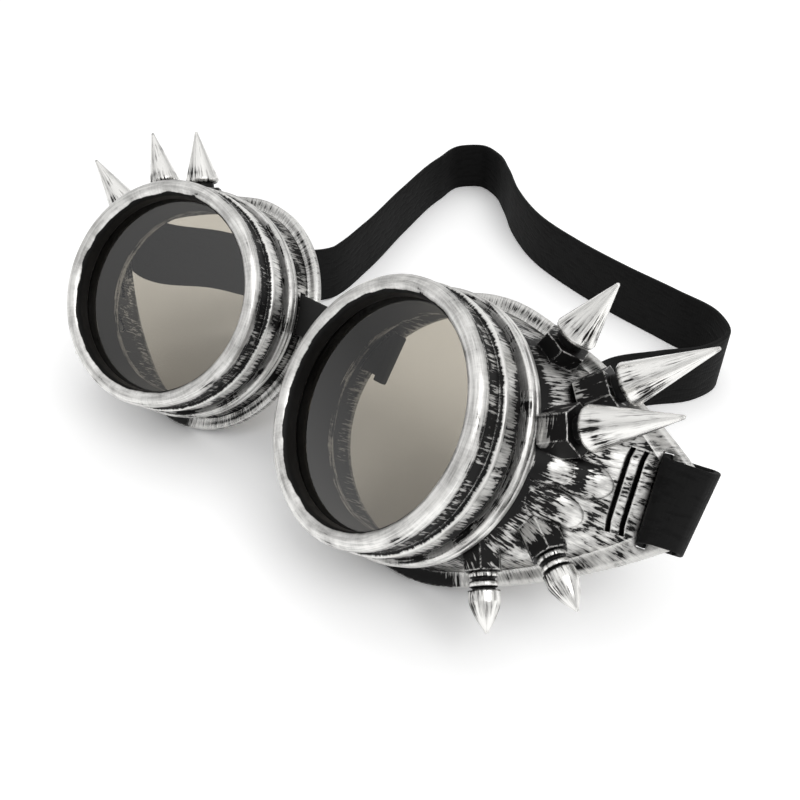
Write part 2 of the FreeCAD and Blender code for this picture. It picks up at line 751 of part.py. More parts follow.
doc.recompute()
pieces = rightPieces + leftPieces + [bridge, strap]
for item in doc.Objects:
    if "Invalid" in item.State or "Error" in item.State:
        raise RuntimeError("%s failed: %s" % (item.Label, item.State))
for piece in pieces:
    if piece.Shape.isNull() or not piece.Shape.isValid():
        raise RuntimeError("%s has no valid shape" % piece.Label)
os.makedirs("parts", exist_ok=True)
for piece in pieces:
    piece.Shape.exportStep("parts/%s.step" % piece.Label)
    print("%s: %d solids, %.1f mm3" % (piece.Label, len(piece.Shape.Solids), piece.Shape.Volume))
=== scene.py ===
import bpy
import bmesh
import math
from mathutils import Matrix, Vector


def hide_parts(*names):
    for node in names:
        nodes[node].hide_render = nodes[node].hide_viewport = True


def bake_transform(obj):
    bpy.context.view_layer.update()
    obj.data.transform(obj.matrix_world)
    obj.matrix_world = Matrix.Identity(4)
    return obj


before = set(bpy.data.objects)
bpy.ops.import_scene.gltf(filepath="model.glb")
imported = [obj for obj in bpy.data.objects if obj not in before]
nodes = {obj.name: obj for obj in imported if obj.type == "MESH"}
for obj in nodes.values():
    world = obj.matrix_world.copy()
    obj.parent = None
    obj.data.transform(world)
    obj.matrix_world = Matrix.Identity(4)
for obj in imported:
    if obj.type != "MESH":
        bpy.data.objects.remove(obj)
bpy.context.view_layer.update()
scene = bpy.context.scene
scene.view_settings.view_transform = "Standard"
mm = 0.001
print("frame loaded,", len(nodes), "nodes")


def srgb(code):
    parts = [int(code[i:i + 2], 16) / 255 for i in (1, 3, 5)]
    return [p / 12.92 if p <= 0.04045 else ((p + 0.055) / 1.055) ** 2.4 for p in parts] + [1.0]


# links holds sockets to join or plain values to set, stops are (place, level) pairs of a ramp.
# Map Range has its value at 0, the span it reads at 1 and 2 and the span it gives at 3 and 4.
# Mix has its share at 0, then a pair of numbers at 2 and 3, of vectors at 4 and 5, of colours at 6 and 7.
def addNode(tree, kind, links=None, stops=None, **settings):
    node = tree.nodes.new("ShaderNode" + kind)
    for name, value in settings.items():
        setattr(node, name, value)
    for socket, value in (links or {}).items():
        if isinstance(value, bpy.types.NodeSocket):
            tree.links.new(value, node.inputs[socket])
        else:
            node.inputs[socket].default_value = value
    if stops:
        points = node.color_ramp.elements
        points[0].position, points[-1].position = stops[0][0], stops[-1][0]
        for place, level in stops[1:-1]:
            points.new(place)
        for point, (place, level) in zip(points, stops):
            point.color = (level, level, level, 1)
    return node


# the sockets of the span that Map Range reads
def between(span):
    return {1: span[0], 2: span[1]}


def startMaterial(name):
    material = bpy.data.materials.new(name)
    material.use_nodes = True
    material.node_tree.nodes.clear()
    out = material.node_tree.nodes.new("ShaderNodeOutputMaterial")
    return material, material.node_tree, out


def dress(node, material):
    slots = nodes[node].material_slots
    if len(slots):
        for place in slots:
            place.material = material
    else:
        nodes[node].data.materials.append(material)


def finishPiece(name, bm, material):
    mesh = bpy.data.meshes.new(name)
    bm.to_mesh(mesh)
    bm.free()
    for face in mesh.polygons:
        face.use_smooth = True
    mesh.materials.append(material)
    piece = bpy.data.objects.new(name, mesh)
    scene.collection.objects.link(piece)
    return piece


def shift(x, y, z):
    return Matrix.Translation(Vector((x, y, z)) * mm)


def turn(axis, angle):
    return Matrix.Rotation(math.radians(angle), 4, axis)


# The goggles' frame between the lens rims, the right cup's frame (x to the temple, y back from the
# crest of the rim, z up) and the frame of its slanted rear flange. The left cup is the mirror image.
stance = {"setback": 87.28, "height": 43.571209, "lean": 39.7, "toe": 11.4, "roll": 9.5,
          "halfSpacing": 36.4, "rimRound": 2.05, "rearDepth": 31, "rearSlant": 11.3}
goggles = shift(0, -stance["setback"], stance["height"]) @ turn("X", -stance["lean"])
rightCup = (goggles @ shift(stance["halfSpacing"], 0, 0) @ turn("Z", -stance["toe"])
            @ turn("Y", -stance["roll"]) @ shift(0, -stance["rimRound"], 0))
rearPlane = rightCup @ shift(0, stance["rearDepth"], 0) @ turn("Z", stance["rearSlant"])
mirrorX = Matrix.Diagonal((-1, 1, 1, 1))
sides = {"right": 1, "left": -1}


# Camera at the photograph's viewpoint
cameraLook = {"place": (126.61, -180.22, 144.968), "right": (0.752, 0.6592, -0.0052),
              "up": (-0.3978, 0.4599, 0.7939), "back": (0.5257, -0.5949, 0.6081), "lens": 36, "sensor": 36,
              "clip": (0.01, 50)}
cameraData = bpy.data.cameras.new("camera")
cameraData.lens = cameraLook["lens"]
cameraData.sensor_width = cameraLook["sensor"]
cameraData.clip_start, cameraData.clip_end = cameraLook["clip"]
camera = bpy.data.objects.new("camera", cameraData)
axes = Matrix((cameraLook["right"], cameraLook["up"], cameraLook["back"])).transposed().to_4x4()
camera.matrix_world = shift(*cameraLook["place"]) @ axes
scene.collection.objects.link(camera)
scene.camera = camera
print("camera placed")


# rays by which the table and the far wall are seen: straight on, in a reflection or through a lens
def seenRays(tree):
    path = addNode(tree, "LightPath").outputs
    seen = addNode(tree, "Math", {0: path["Is Camera Ray"], 1: path["Is Glossy Ray"]}).outputs[0]
    return addNode(tree, "Math", {0: seen, 1: path["Is Transmission Ray"]}, use_clamp=True).outputs[0]


# White table in a studio that is bright overhead and dim at eye level, with a soft lamp high at the
# right. The far wall is seen white up to the haze, and the table is drawn white enough for its open part
# to wash out to plain white.
stageLook = {"floorSize": 6.0, "floorShade": "#C4C4C3", "floorWhite": (1.22, 1.22, 1.22, 1),
             "sky": [(0.0, 0.24), (0.2, 0.34), (0.5, 0.7), (0.85, 1.0), (1.0, 1.0)], "haze": (0.3, 0.15),
             "wallWhite": (1, 1, 1, 1), "lampPlace": (700, -250, 850), "lampSize": 0.6, "lampPower": 3.4}
bm = bmesh.new()
bmesh.ops.create_grid(bm, x_segments=1, y_segments=1, size=stageLook["floorSize"])
floorMesh = bpy.data.meshes.new("floor")
bm.to_mesh(floorMesh)
bm.free()
floor = bpy.data.objects.new("floor", floorMesh)
scene.collection.objects.link(floor)
material, tree, out = startMaterial("white card table")  # even white that keeps the soft shadow
shade = addNode(tree, "Mix", {
    0: seenRays(tree), 6: srgb(stageLook["floorShade"]), 7: stageLook["floorWhite"]}, data_type="RGBA")
card = addNode(tree, "BsdfDiffuse", {"Color": shade.outputs[2]})
tree.links.new(card.outputs[0], out.inputs["Surface"])
floorMesh.materials.append(material)

world = bpy.data.worlds.new("studio")
world.use_nodes = True
scene.world = world
tree = world.node_tree
rise = addNode(tree, "SeparateXYZ", {0: addNode(tree, "TexCoord").outputs["Generated"]}).outputs["Z"]
sky = addNode(tree, "ValToRGB", {0: rise}, stageLook["sky"]).outputs["Color"]
haze = addNode(tree, "MapRange", {0: rise, **between(stageLook["haze"]), 4: seenRays(tree)}).outputs[0]
shade = addNode(tree, "Mix", {0: haze, 6: sky, 7: stageLook["wallWhite"]}, data_type="RGBA").outputs[2]
tree.links.new(shade, tree.nodes["Background"].inputs["Color"])

lamp = bpy.data.lights.new("soft lamp", "AREA")
lamp.size = stageLook["lampSize"]
lamp.energy = stageLook["lampPower"]
lampObject = bpy.data.objects.new("soft lamp", lamp)
lampObject.location = Vector(stageLook["lampPlace"]) * mm
lampObject.rotation_euler = (-lampObject.location).to_track_quat("-Z", "Y").to_euler()
scene.collection.objects.link(lampObject)
print("table and light ready")


# Silver paint dry-brushed over black moulded ABS: bright metal on what stands proud, ragged brush
# strokes from front to back and the black plastic left in the hollows. Lengths in mm. A span is where
# an effect begins and where it is full.
coatLook = {
    "strokeWidth": 0.5, "strokeStretch": 0.11, "runWidth": 0.6, "runStretch": 0.07, "runMix": 0.2,
    "patch": 7.0, "patchSpan": (0.3, 0.7), "patchShare": 0.2,
    "hollowReach": 2.4, "hollowSpan": (0.25, 0.8), "hollowShare": 0.7,
    "edgeReach": 0.55, "edgeSpan": (0.99, 0.86), "edgeShare": 0.7, "chipSpan": (0.4, 0.56),
    "lipReach": 2.4, "lipFade": 0.2, "lipSpan": (0.985, 0.96), "rearSpan": (0.6, 0.9), "rearShare": 0.25,
    "spotSpan": (1.15, 0.75), "insideSpan": (0.1, 0.25), "insideRagged": 0.5,
    "coverShare": 0.7, "paintSpan": (0.845, 0.89), "thinAt": 0.86,
    "plastic": "#080707", "paintThin": "#A4A3A1", "paintThick": "#EFEEEB", "paintMetal": 0.85,
    "plasticRough": 0.5, "plasticShine": 0.2, "roughWaver": 0.16, "strokeRelief": 0.6, "relief": 0.09}


# place in the piece's own frame, in mm, with its depth along the axis, its distance and direction from
# the axis, and the way that the surface faces
def coatMeasures(tree, matrix, side):
    placed = matrix if side > 0 else mirrorX @ matrix @ mirrorX
    coords = addNode(tree, "TexCoord").outputs
    own = addNode(tree, "Mapping", {
        "Vector": coords["Object"], "Location": placed.translation, "Rotation": placed.to_euler(),
        "Scale": (side, 1, 1)}, vector_type="TEXTURE").outputs[0]
    local = addNode(tree, "VectorMath", {0: own, "Scale": 1 / mm}, operation="SCALE").outputs[0]
    depth = addNode(tree, "SeparateXYZ", {0: local}).outputs["Y"]
    flat = addNode(tree, "VectorMath", {0: local, 1: (1, 0, 1)}, operation="MULTIPLY").outputs[0]
    radius = addNode(tree, "VectorMath", {0: flat}, operation="LENGTH").outputs["Value"]
    outward = addNode(tree, "VectorMath", {0: flat}, operation="NORMALIZE").outputs[0]
    faced = addNode(tree, "Mapping", {
        "Vector": coords["Normal"], "Rotation": placed.to_euler(), "Scale": (side, 1, 1)},
        vector_type="TEXTURE").outputs[0]
    return local, depth, radius, outward, faced


# brush strokes, long from front to back and narrow round the piece, runs of the brush round it, and
# patches of more or less paint
def brushMarks(tree, local, depth, radius, outward, girth, seed):
    along = addNode(tree, "Math", {0: depth, 1: radius}).outputs[0]
    stretched = addNode(tree, "Math", {
        0: along, 1: coatLook["strokeStretch"], 2: seed}, operation="MULTIPLY_ADD").outputs[0]
    lengthwise = addNode(tree, "CombineXYZ", {"Y": stretched}).outputs[0]
    brushed = addNode(tree, "VectorMath", {
        0: outward, 1: (girth,) * 3, 2: lengthwise}, operation="MULTIPLY_ADD").outputs[0]
    strokes = addNode(tree, "TexNoise", {
        "Vector": brushed, "Scale": 1 / coatLook["strokeWidth"], "Detail": 4.0, "Roughness": 0.6})
    lane = addNode(tree, "CombineXYZ", {"Y": along}).outputs[0]
    around = addNode(tree, "VectorMath", {
        0: outward, 1: (girth * coatLook["runStretch"],) * 3, 2: lane}, operation="MULTIPLY_ADD").outputs[0]
    runs = addNode(tree, "TexNoise", {
        "Vector": around, "Scale": 1 / coatLook["runWidth"], "Detail": 5.0, "Roughness": 0.7})
    patches = addNode(tree, "TexNoise", {"Vector": local, "Scale": 1 / coatLook["patch"], "Detail": 3.0})
    return strokes.outputs["Fac"], runs.outputs["Fac"], patches.outputs["Fac"]


# the flange's border is rolled over and painted bright, and little paint reached the face behind it
def paintLip(tree, coat, local, faced, plain, smooth, cover):
    behind = addNode(tree, "VectorMath", {0: local, 1: coat["rearWay"]}, operation="DOT_PRODUCT")
    lip = addNode(tree, "MapRange", {
        0: behind.outputs["Value"], 1: coat["lip"], 2: coat["lip"] + coatLook["lipFade"]}).outputs[0]
    rolled = addNode(tree, "Bevel", {"Radius": coatLook["lipReach"] * mm}, samples=6).outputs[0]
    border = addNode(tree, "VectorMath", {0: rolled, 1: plain}, operation="DOT_PRODUCT").outputs["Value"]
    border = addNode(tree, "MapRange", {0: border, **between(coatLook["lipSpan"])}).outputs[0]
    lip = addNode(tree, "Math", {0: lip, 1: border}, operation="MULTIPLY").outputs[0]
    cover = addNode(tree, "MapRange", {0: lip, 3: cover, 4: 1.0}).outputs[0]
    turned = addNode(tree, "VectorMath", {0: faced, 1: coat["rearWay"]}, operation="DOT_PRODUCT")
    rear = addNode(tree, "MapRange", {
        0: turned.outputs["Value"], **between(coatLook["rearSpan"]),
        3: 1.0, 4: coatLook["rearShare"]}).outputs[0]
    cover = addNode(tree, "Math", {0: cover, 1: rear}, operation="MULTIPLY").outputs[0]
    normal = addNode(tree, "Mix", {0: lip, 4: smooth, 5: rolled}, data_type="VECTOR").outputs[1]
    return cover, normal


# coat holds, for one piece: stops, the depth along its axis and how much of it the paint covers there;
# round, where the brush went round it and not from front to back; girth, its radius; inner, where its
# inside begins, and inside, the share of the paint that reached in there; rough, how far the paint
# scatters light; build, how soon it is thick; spots, places with a reach and the paint's cover there;
# lip and rearWay, on the cups, where the flange's border begins and the way that the flange faces
def silverCoat(name, matrix, side, coat, seed):
    material, tree, out = startMaterial(name)
    local, depth, radius, outward, faced = coatMeasures(tree, matrix, side)
    strokes, runs, patches = brushMarks(tree, local, depth, radius, outward, coat["girth"], seed)
    plain = addNode(tree, "NewGeometry").outputs["Normal"]
    smooth = addNode(tree, "Bevel", {"Radius": coatLook["edgeReach"] * mm}, samples=4).outputs[0]

    # paint by depth, then on the flange's border and at the spots
    span = coat["stops"][-1][0]
    ramp = addNode(tree, "MapRange", {0: depth, 1: 0.0, 2: span}).outputs[0]
    cover = addNode(tree, "ValToRGB", {0: ramp}, [(d / span, c) for d, c in coat["stops"]]).outputs["Color"]
    if "round" in coat:
        share = addNode(tree, "ValToRGB", {0: ramp}, [(d / span, c) for d, c in coat["round"]])
        runs = addNode(tree, "Mix", {0: coatLook["runMix"], 2: runs, 3: strokes}).outputs[0]
        strokes = addNode(tree, "MapRange", {0: share.outputs["Color"], 3: strokes, 4: runs}).outputs[0]
    normal = smooth
    if "lip" in coat:
        cover, normal = paintLip(tree, coat, local, faced, plain, smooth, cover)
    begins, full = coatLook["spotSpan"]
    for spot, reach, level in coat["spots"]:
        away = addNode(tree, "VectorMath", {0: local, 1: spot}, operation="DISTANCE").outputs["Value"]
        near = addNode(tree, "MapRange", {0: away, 1: begins * reach, 2: full * reach}).outputs[0]
        cover = addNode(tree, "MapRange", {0: near, 3: cover, 4: level}).outputs[0]

    # more on the chipped edges, less in the hollows, uneven all over, and little inside
    hollow = addNode(tree, "AmbientOcclusion", {"Distance": coatLook["hollowReach"] * mm},
                     samples=6, only_local=True).outputs["AO"]
    edge = addNode(tree, "VectorMath", {0: smooth, 1: plain}, operation="DOT_PRODUCT").outputs["Value"]
    edge = addNode(tree, "MapRange", {0: edge, **between(coatLook["edgeSpan"])}).outputs[0]
    edge = addNode(tree, "Math", {0: edge, 1: hollow}, operation="MULTIPLY").outputs[0]
    chipped = addNode(tree, "MapRange", {0: runs, **between(coatLook["chipSpan"])}).outputs[0]
    edge = addNode(tree, "Math", {0: edge, 1: chipped}, operation="MULTIPLY").outputs[0]
    cover = addNode(tree, "Math", {
        0: edge, 1: coatLook["edgeShare"], 2: cover}, operation="MULTIPLY_ADD").outputs[0]
    dark = addNode(tree, "MapRange", {
        0: hollow, **between(coatLook["hollowSpan"]), 3: -coatLook["hollowShare"], 4: 0.0}).outputs[0]
    cover = addNode(tree, "Math", {0: cover, 1: dark}).outputs[0]
    uneven = addNode(tree, "MapRange", {
        0: patches, **between(coatLook["patchSpan"]),
        3: -coatLook["patchShare"], 4: coatLook["patchShare"]}).outputs[0]
    cover = addNode(tree, "Math", {0: cover, 1: uneven}).outputs[0]
    facing = addNode(tree, "VectorMath", {0: faced, 1: outward}, operation="DOT_PRODUCT").outputs["Value"]
    ragged = addNode(tree, "Math", {
        0: patches, 1: coatLook["insideRagged"], 2: facing}, operation="MULTIPLY_ADD").outputs[0]
    begins, full = coatLook["insideSpan"]
    fade = addNode(tree, "MapRange", {
        0: ragged, 1: coat["inner"] + begins, 2: coat["inner"] + full, 3: coat["inside"], 4: 1.0}).outputs[0]
    cover = addNode(tree, "Math", {0: cover, 1: fade}, operation="MULTIPLY").outputs[0]
    thickness = addNode(tree, "Math", {
        0: cover, 1: coatLook["coverShare"], 2: strokes}, operation="MULTIPLY_ADD").outputs[0]
    paint = addNode(tree, "MapRange", {
        0: thickness, **between(coatLook["paintSpan"])}, interpolation_type="SMOOTHSTEP").outputs[0]

    # thin paint is greyer than thick paint
    thick = addNode(tree, "MapRange", {
        0: thickness, 1: coatLook["thinAt"], 2: coatLook["thinAt"] + coat["build"]}).outputs[0]
    tone = addNode(tree, "Mix", {
        0: thick, 6: srgb(coatLook["paintThin"]), 7: srgb(coatLook["paintThick"])},
        data_type="RGBA").outputs[2]
    colour = addNode(tree, "Mix", {
        0: paint, 6: srgb(coatLook["plastic"]), 7: tone}, data_type="RGBA").outputs[2]
    metal = addNode(tree, "Math", {0: paint, 1: coatLook["paintMetal"]}, operation="MULTIPLY").outputs[0]
    rough = addNode(tree, "MapRange", {0: paint, 3: coatLook["plasticRough"], 4: coat["rough"]}).outputs[0]
    rough = addNode(tree, "Math", {
        0: patches, 1: coatLook["roughWaver"], 2: rough}, operation="MULTIPLY_ADD").outputs[0]
    rough = addNode(tree, "Math", {0: rough, 1: coatLook["roughWaver"] / 2}, operation="SUBTRACT").outputs[0]
    height = addNode(tree, "Math", {
        0: strokes, 1: coatLook["strokeRelief"], 2: paint}, operation="MULTIPLY_ADD").outputs[0]
    bump = addNode(tree, "Bump", {
        "Height": height, "Strength": 0.6, "Distance": coatLook["relief"] * mm, "Normal": normal})
    shader = addNode(tree, "BsdfPrincipled", {
        "Base Color": colour, "Metallic": metal, "Roughness": rough,
        "Specular IOR Level": coatLook["plasticShine"], "Normal": bump.outputs[0]})
    tree.links.new(shader.outputs[0], out.inputs["Surface"])
    return material


# Studs: the seat of each on the skirt, as radius and angle round the lens axis and depth behind the rim,
# then the way it points, as its aim round that axis and its tilt to the front
studLook = {
    "top_spike": {"radius": 35.6, "angle": 46.5, "depth": 26.9, "aim": 52.9, "tilt": 13.8},
    "upper_spike": {"radius": 41.5, "angle": 26.9, "depth": 29.2, "aim": 34.6, "tilt": -3.6},
    "side_spike": {"radius": 38, "angle": 12.9, "depth": 20.7, "aim": 19, "tilt": 4},
    "lower_bullet": {"radius": 39.4, "angle": -24.6, "depth": 26, "aim": -41, "tilt": 0},
    "bottom_bullet": {"radius": 34.6, "angle": -44.4, "depth": 22, "aim": -64, "tilt": 0}}


def studSeat(look):
    angle = math.radians(look["angle"])
    return Vector((look["radius"] * math.cos(angle), look["depth"], look["radius"] * math.sin(angle)))


# Screw rings: bright half-round rim, mottled groove, bright ridge, brushed band, black recess
ringCoat = {
    "stops": [(0, 0.8), (0.7, 0.73), (1.3, 0.73), (1.9, 0.62), (2.4, 0.5), (2.6, 0.4), (3.4, 0.32),
              (4.6, 0.46), (6.2, 0.42), (6.9, 0.25), (7.2, 0.95), (8.05, 0.95), (8.2, 0.1), (8.45, 0.7),
              (9.2, 0.8), (10.6, 0.66), (11.8, 0.45), (12.6, 0.2), (12.9, 0.02), (14.2, 0.0)],
    "round": [(0, 1), (2.2, 1), (2.6, 0), (7.1, 0), (7.2, 1), (8.1, 1), (8.3, 0), (14.2, 0)],
    "girth": 29.5, "inner": -0.72, "inside": 0.0, "rough": 0.34, "build": 0.3, "spots": [], "seed": 3.1}

# Cups: bright double bead, black line behind it, brushed skirt and bright border. The foot of each boss
# is dark, each lobe is bright where it stands proud and has a painted shadow on its temple side, and the
# cup is darker on its underside.
cupLook = {"bossReach": {"spike": 7.0, "bullet": 5.2}, "bossCover": 0.32,
           "lobes": [(34.3, 23.0, 0), (39.6, 29.0, -0.4), (36.7, 27.2, -7.8), (31.8, 28.4, -19.1)],
           "lobeReach": 3.3, "lobeCover": 0.74, "paintedShadowShift": (1.5, 1.5, -0.8), "paintedShadowReach": 3.6,
           "paintedShadowCover": 0.45,
           "underside": [((-10, 30, -37), 9.0, 0.28), ((0, 30, -37), 9.0, 0.28), ((10, 30, -37), 9.0, 0.28),
                         ((18, 25.5, -33), 6.0, 0.3)]}
cupSpots = []
for stud, look in studLook.items():
    cupSpots.append((studSeat(look), cupLook["bossReach"][stud.split("_")[1]], cupLook["bossCover"]))
# painted shadows: a darker spot beside each lobe, shifted towards the temple, back and down
for lobe in cupLook["lobes"]:
    paintedShadow = Vector(lobe) + Vector(cupLook["paintedShadowShift"])
    cupSpots.append((paintedShadow, cupLook["paintedShadowReach"], cupLook["paintedShadowCover"]))
for lobe in cupLook["lobes"]:
    cupSpots.append((lobe, cupLook["lobeReach"], cupLook["lobeCover"]))
cupSpots += cupLook["underside"]
rearSlant = math.radians(stance["rearSlant"])
cupCoat = {
    "stops": [(0, 0.0), (14.0, 0.0), (14.3, 0.7), (15.9, 0.8), (16.18, 0.4), (16.45, 0.8), (17.8, 0.7),
              (18.2, 0.0), (19.2, 0.2), (21, 0.52), (26, 0.6), (34, 0.62), (42, 0.66)],
    "round": [(0, 1), (18.0, 1), (18.2, 0), (42, 0)],
    "girth": 36, "inner": -0.12, "inside": 0.7, "rough": 0.36, "build": 0.3, "spots": cupSpots, "seed": 7.7,
    "lip": 28.15, "rearWay": (-math.sin(rearSlant), math.cos(rearSlant), 0)}
for side, sign in sides.items():
    for piece, node, coat in (("ring", "_lens_ring", ringCoat), ("cup", "_cup_shell", cupCoat)):
        name = "dry-brushed silver on ABS " + side + " " + piece
        dress(side + node, silverCoat(name, rightCup, sign, coat, sign * coat["seed"]))
print("cups and rings painted")

# Studs: plated silver, glossier than the cups, with black left round the foot and in the grooves
spikeCoat = {
    "stops": [(0, 0.15), (1.6, 0.25), (1.9, 0.66), (2.8, 0.8), (4.6, 0.6), (7.5, 0.8), (12, 0.76),
              (19.5, 0.9), (20.6, 0.55), (22, 0.8)],
    "girth": 4.6, "inner": -2.0, "inside": 1.0, "rough": 0.22, "build": 0.16, "spots": []}
bulletCoat = {
    "stops": [(0, 0.4), (0.5, 0.7), (1.1, 0.7), (1.4, 0.15), (1.9, 0.15), (2.3, 0.75), (3.0, 0.75),
              (3.3, 0.15), (3.8, 0.15), (4.1, 0.62), (5.6, 0.66), (7, 0.54), (9, 0.64), (11, 0.75),
              (12.2, 0.6)],
    "girth": 3.3, "inner": -2.0, "inside": 1.0, "rough": 0.22, "build": 0.16, "spots": []}
for stud, look in studLook.items():
    aim, tilt = math.radians(look["aim"]), math.radians(look["tilt"])
    way = Vector((math.cos(aim) * math.cos(tilt), -math.sin(tilt), math.sin(aim) * math.cos(tilt)))
    pointed = way.to_track_quat("Y", "Z").to_matrix().to_4x4()
    studFrame = rightCup @ shift(*studSeat(look)) @ pointed
    coat = spikeCoat if "spike" in stud else bulletCoat
    for side, sign in sides.items():
        node = side + "_" + stud
        dress(node, silverCoat("plated silver " + node, studFrame, sign, coat, sign * look["depth"]))
print("studs plated")

# Smoke lens: clear grey-brown polycarbonate, flat and polished, that tints the table behind it. The
# gloss is laid on the front face alone, because a ray that isn't bent would be thrown back inside.
lensLook = {"tint": "#D6D2CA", "gloss": 0.02, "mirror": 0.11, "edgeMirror": 0.85, "edgePower": 5.0}
material, tree, out = startMaterial("smoke polycarbonate")
clear = addNode(tree, "BsdfTransparent", {"Color": srgb(lensLook["tint"])})
shine = addNode(tree, "BsdfGlossy", {"Roughness": lensLook["gloss"]})
slope = addNode(tree, "LayerWeight", {"Blend": 0.5}).outputs["Facing"]
slope = addNode(tree, "Math", {0: slope, 1: lensLook["edgePower"]}, operation="POWER").outputs[0]
slope = addNode(tree, "Math", {
    0: slope, 1: lensLook["edgeMirror"], 2: lensLook["mirror"]}, operation="MULTIPLY_ADD").outputs[0]
inside = addNode(tree, "NewGeometry").outputs["Backfacing"]
slope = addNode(tree, "MapRange", {0: inside, 3: slope, 4: 0.0}).outputs[0]
both = addNode(tree, "MixShader", {0: slope, 1: clear.outputs[0], 2: shine.outputs[0]})
tree.links.new(both.outputs[0], out.inputs["Surface"])
for side in sides:
    dress(side + "_lens", material)


# plain finish whose grain, in mm, wavers between two colours and from smooth to rough
def grainyFinish(name, look):
    material, tree, out = startMaterial(name)
    grain = addNode(tree, "TexNoise", {
        "Vector": addNode(tree, "TexCoord").outputs["Object"], "Scale": 1 / (look["grain"] * mm),
        "Detail": look["detail"]}).outputs["Fac"]
    rough = addNode(tree, "MapRange", {0: grain, 3: look["rough"][0], 4: look["rough"][1]}).outputs[0]
    colour = addNode(tree, "Mix", {
        0: grain, 6: srgb(look["dark"]), 7: srgb(look["light"])}, data_type="RGBA").outputs[2]
    shader = addNode(tree, "BsdfPrincipled", {
        "Base Color": colour, "Metallic": look["metallic"], "Roughness": rough})
    tree.links.new(shader.outputs[0], out.inputs["Surface"])
    return material


# Seals: matt black moulded rubber, with a grain drawn coarser than the real one so that it shows
sealLook = {"grain": 0.4, "detail": 3.0, "rough": (0.6, 0.85), "dark": "#0E0E0E", "light": "#1C1B1A",
            "metallic": 0.0}
rubber = grainyFinish("black nitrile rubber", sealLook)
# Screws: bright turned steel with faint tool marks, drawn coarser than the real ones so that they show
screwLook = {"grain": 0.5, "detail": 4.0, "rough": (0.22, 0.45), "dark": "#A3A5A6", "light": "#C6C8C8",
             "metallic": 1.0}
steel = grainyFinish("zinc-plated steel", screwLook)
for side in sides:
    dress(side + "_lens_seal", rubber)
    dress(side + "_stud_screws", steel)
print("lenses, seals and screws finished")

# Bridge band: a strip of black rubber through both nasal slots, with a thicker tab at each end. It is
# cut across at even steps.
bridgeLook = {"half": 20, "halfWidth": 5, "thickness": 1.8, "shoulder": 17.5, "tabStart": 17.8,
              "tabHalf": 6.2, "tabThickness": 2.6, "edge": 0.4, "edgeSegments": 3, "step": 1.25,
              "depth": 25, "rise": 9.5, "bend": 6, "slack": 0.05, "sharp": 1, "lengthwise": 0.1}
bridgeFrame = goggles @ shift(0, bridgeLook["depth"], bridgeLook["rise"])
bm = bmesh.new()
bmesh.ops.create_cube(bm, size=1)
block = Vector((2 * bridgeLook["half"], bridgeLook["thickness"], 2 * bridgeLook["halfWidth"]))
bmesh.ops.scale(bm, vec=block * mm, verts=bm.verts)
cuts = [sign * bridgeLook[name] for name in ("shoulder", "tabStart") for sign in (1, -1)]
steps = int(bridgeLook["shoulder"] / bridgeLook["step"])
cuts += [step * bridgeLook["step"] for step in range(1 - steps, steps)]
for cut in cuts:
    bmesh.ops.bisect_plane(bm, geom=bm.verts[:] + bm.edges[:] + bm.faces[:], plane_co=(cut * mm, 0, 0),
                           plane_no=(1, 0, 0))
tabs = [v for v in bm.verts if abs(v.co.x) > (bridgeLook["tabStart"] - bridgeLook["slack"]) * mm]
thicker = bridgeLook["tabThickness"] / bridgeLook["thickness"]
bmesh.ops.scale(bm, vec=(1, thicker, bridgeLook["tabHalf"] / bridgeLook["halfWidth"]), verts=tabs)
longEdges = [e for e in bm.edges if e.calc_face_angle(0) > bridgeLook["sharp"] and
             abs((e.verts[0].co - e.verts[1].co).normalized().x) > bridgeLook["lengthwise"]]
bmesh.ops.bevel(bm, geom=longEdges, offset=bridgeLook["edge"] * mm, offset_type="OFFSET",
                segments=bridgeLook["edgeSegments"], profile=0.5, affect="EDGES", material=-1)
bm.transform(bridgeFrame)
bmesh.ops.recalc_face_normals(bm, faces=bm.faces)
bridge = finishPiece("bridge_strip", bm, rubber)
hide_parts("bridge_band")
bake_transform(bridge)
print("bridge strip made")

# Head strap: black woven elastic, one strip from the tail sewn at the right cup, out through the slot,
# round the end of the flange, along the table and back to the left cup. Lengths in mm.
# ends: places along the rear flange's plane and out of it and the share of the width left there, from
# the tail to the end of the sewn length. Past slantFrom the loop's end slants.
# route: middle line on the table, from below the rims, and how far it is lifted
strapLook = {
    "halfWidth": 9.5, "thickness": 1.3, "edge": 0.4, "edgeSegments": 3, "edgeAngle": 60, "rows": 8,
    "endStep": 0.45, "step": 1.6, "bend": 45, "turnPlaces": 3, "loopSlant": 0.13, "slantFrom": 50,
    "ends": [(54.2, 1.05, 0.97), (49.05, 1.05, 0.97), (48.02, 0.63, 1.02), (47.6, -0.4, 1.03),
             (47.6, -3.2, 1.0), (48.02, -4.3, 0.93), (49.05, -4.85, 0.9), (51.6, -5.1, 0.88),
             (54.2, -4.75, 0.87), (55.3, -4.1, 0.87), (55.8, -3.0, 0.88), (55.75, 0.8, 0.95),
             (55.22, 1.9, 0.97), (54.2, 2.35, 0.98), (48, 2.35, 1), (43, 2.35, 1)],
    "route": [(71, 38, 12.5), (60, 50, 5.5), (51, 65, 1), (49, 81, 0), (58, 95, 0), (66.5, 106, 0),
              (68.5, 117, 0), (61, 126, 0), (46, 130, 0), (26, 134, 0), (4, 140, 0), (-17, 148.5, 0),
              (-37, 163, 0), (-53, 179, 0), (-66, 190, 0), (-77, 193.5, 0), (-83.5, 187.5, 0), (-82, 170, 0),
              (-72.5, 135, 0), (-61.5, 101, 0), (-57, 80, 0), (-61, 60, 5.5), (-71, 43, 14.5)]}
upright = Vector((0, 0, 1))
slotUp = rearPlane.to_3x3() @ upright
leftSlotUp = mirrorX.to_3x3() @ slotUp
halfWidth = strapLook["halfWidth"] * mm
rightEnd = [rearPlane @ (Vector((x, y, 0)) * mm) for x, y, share in strapLook["ends"]]
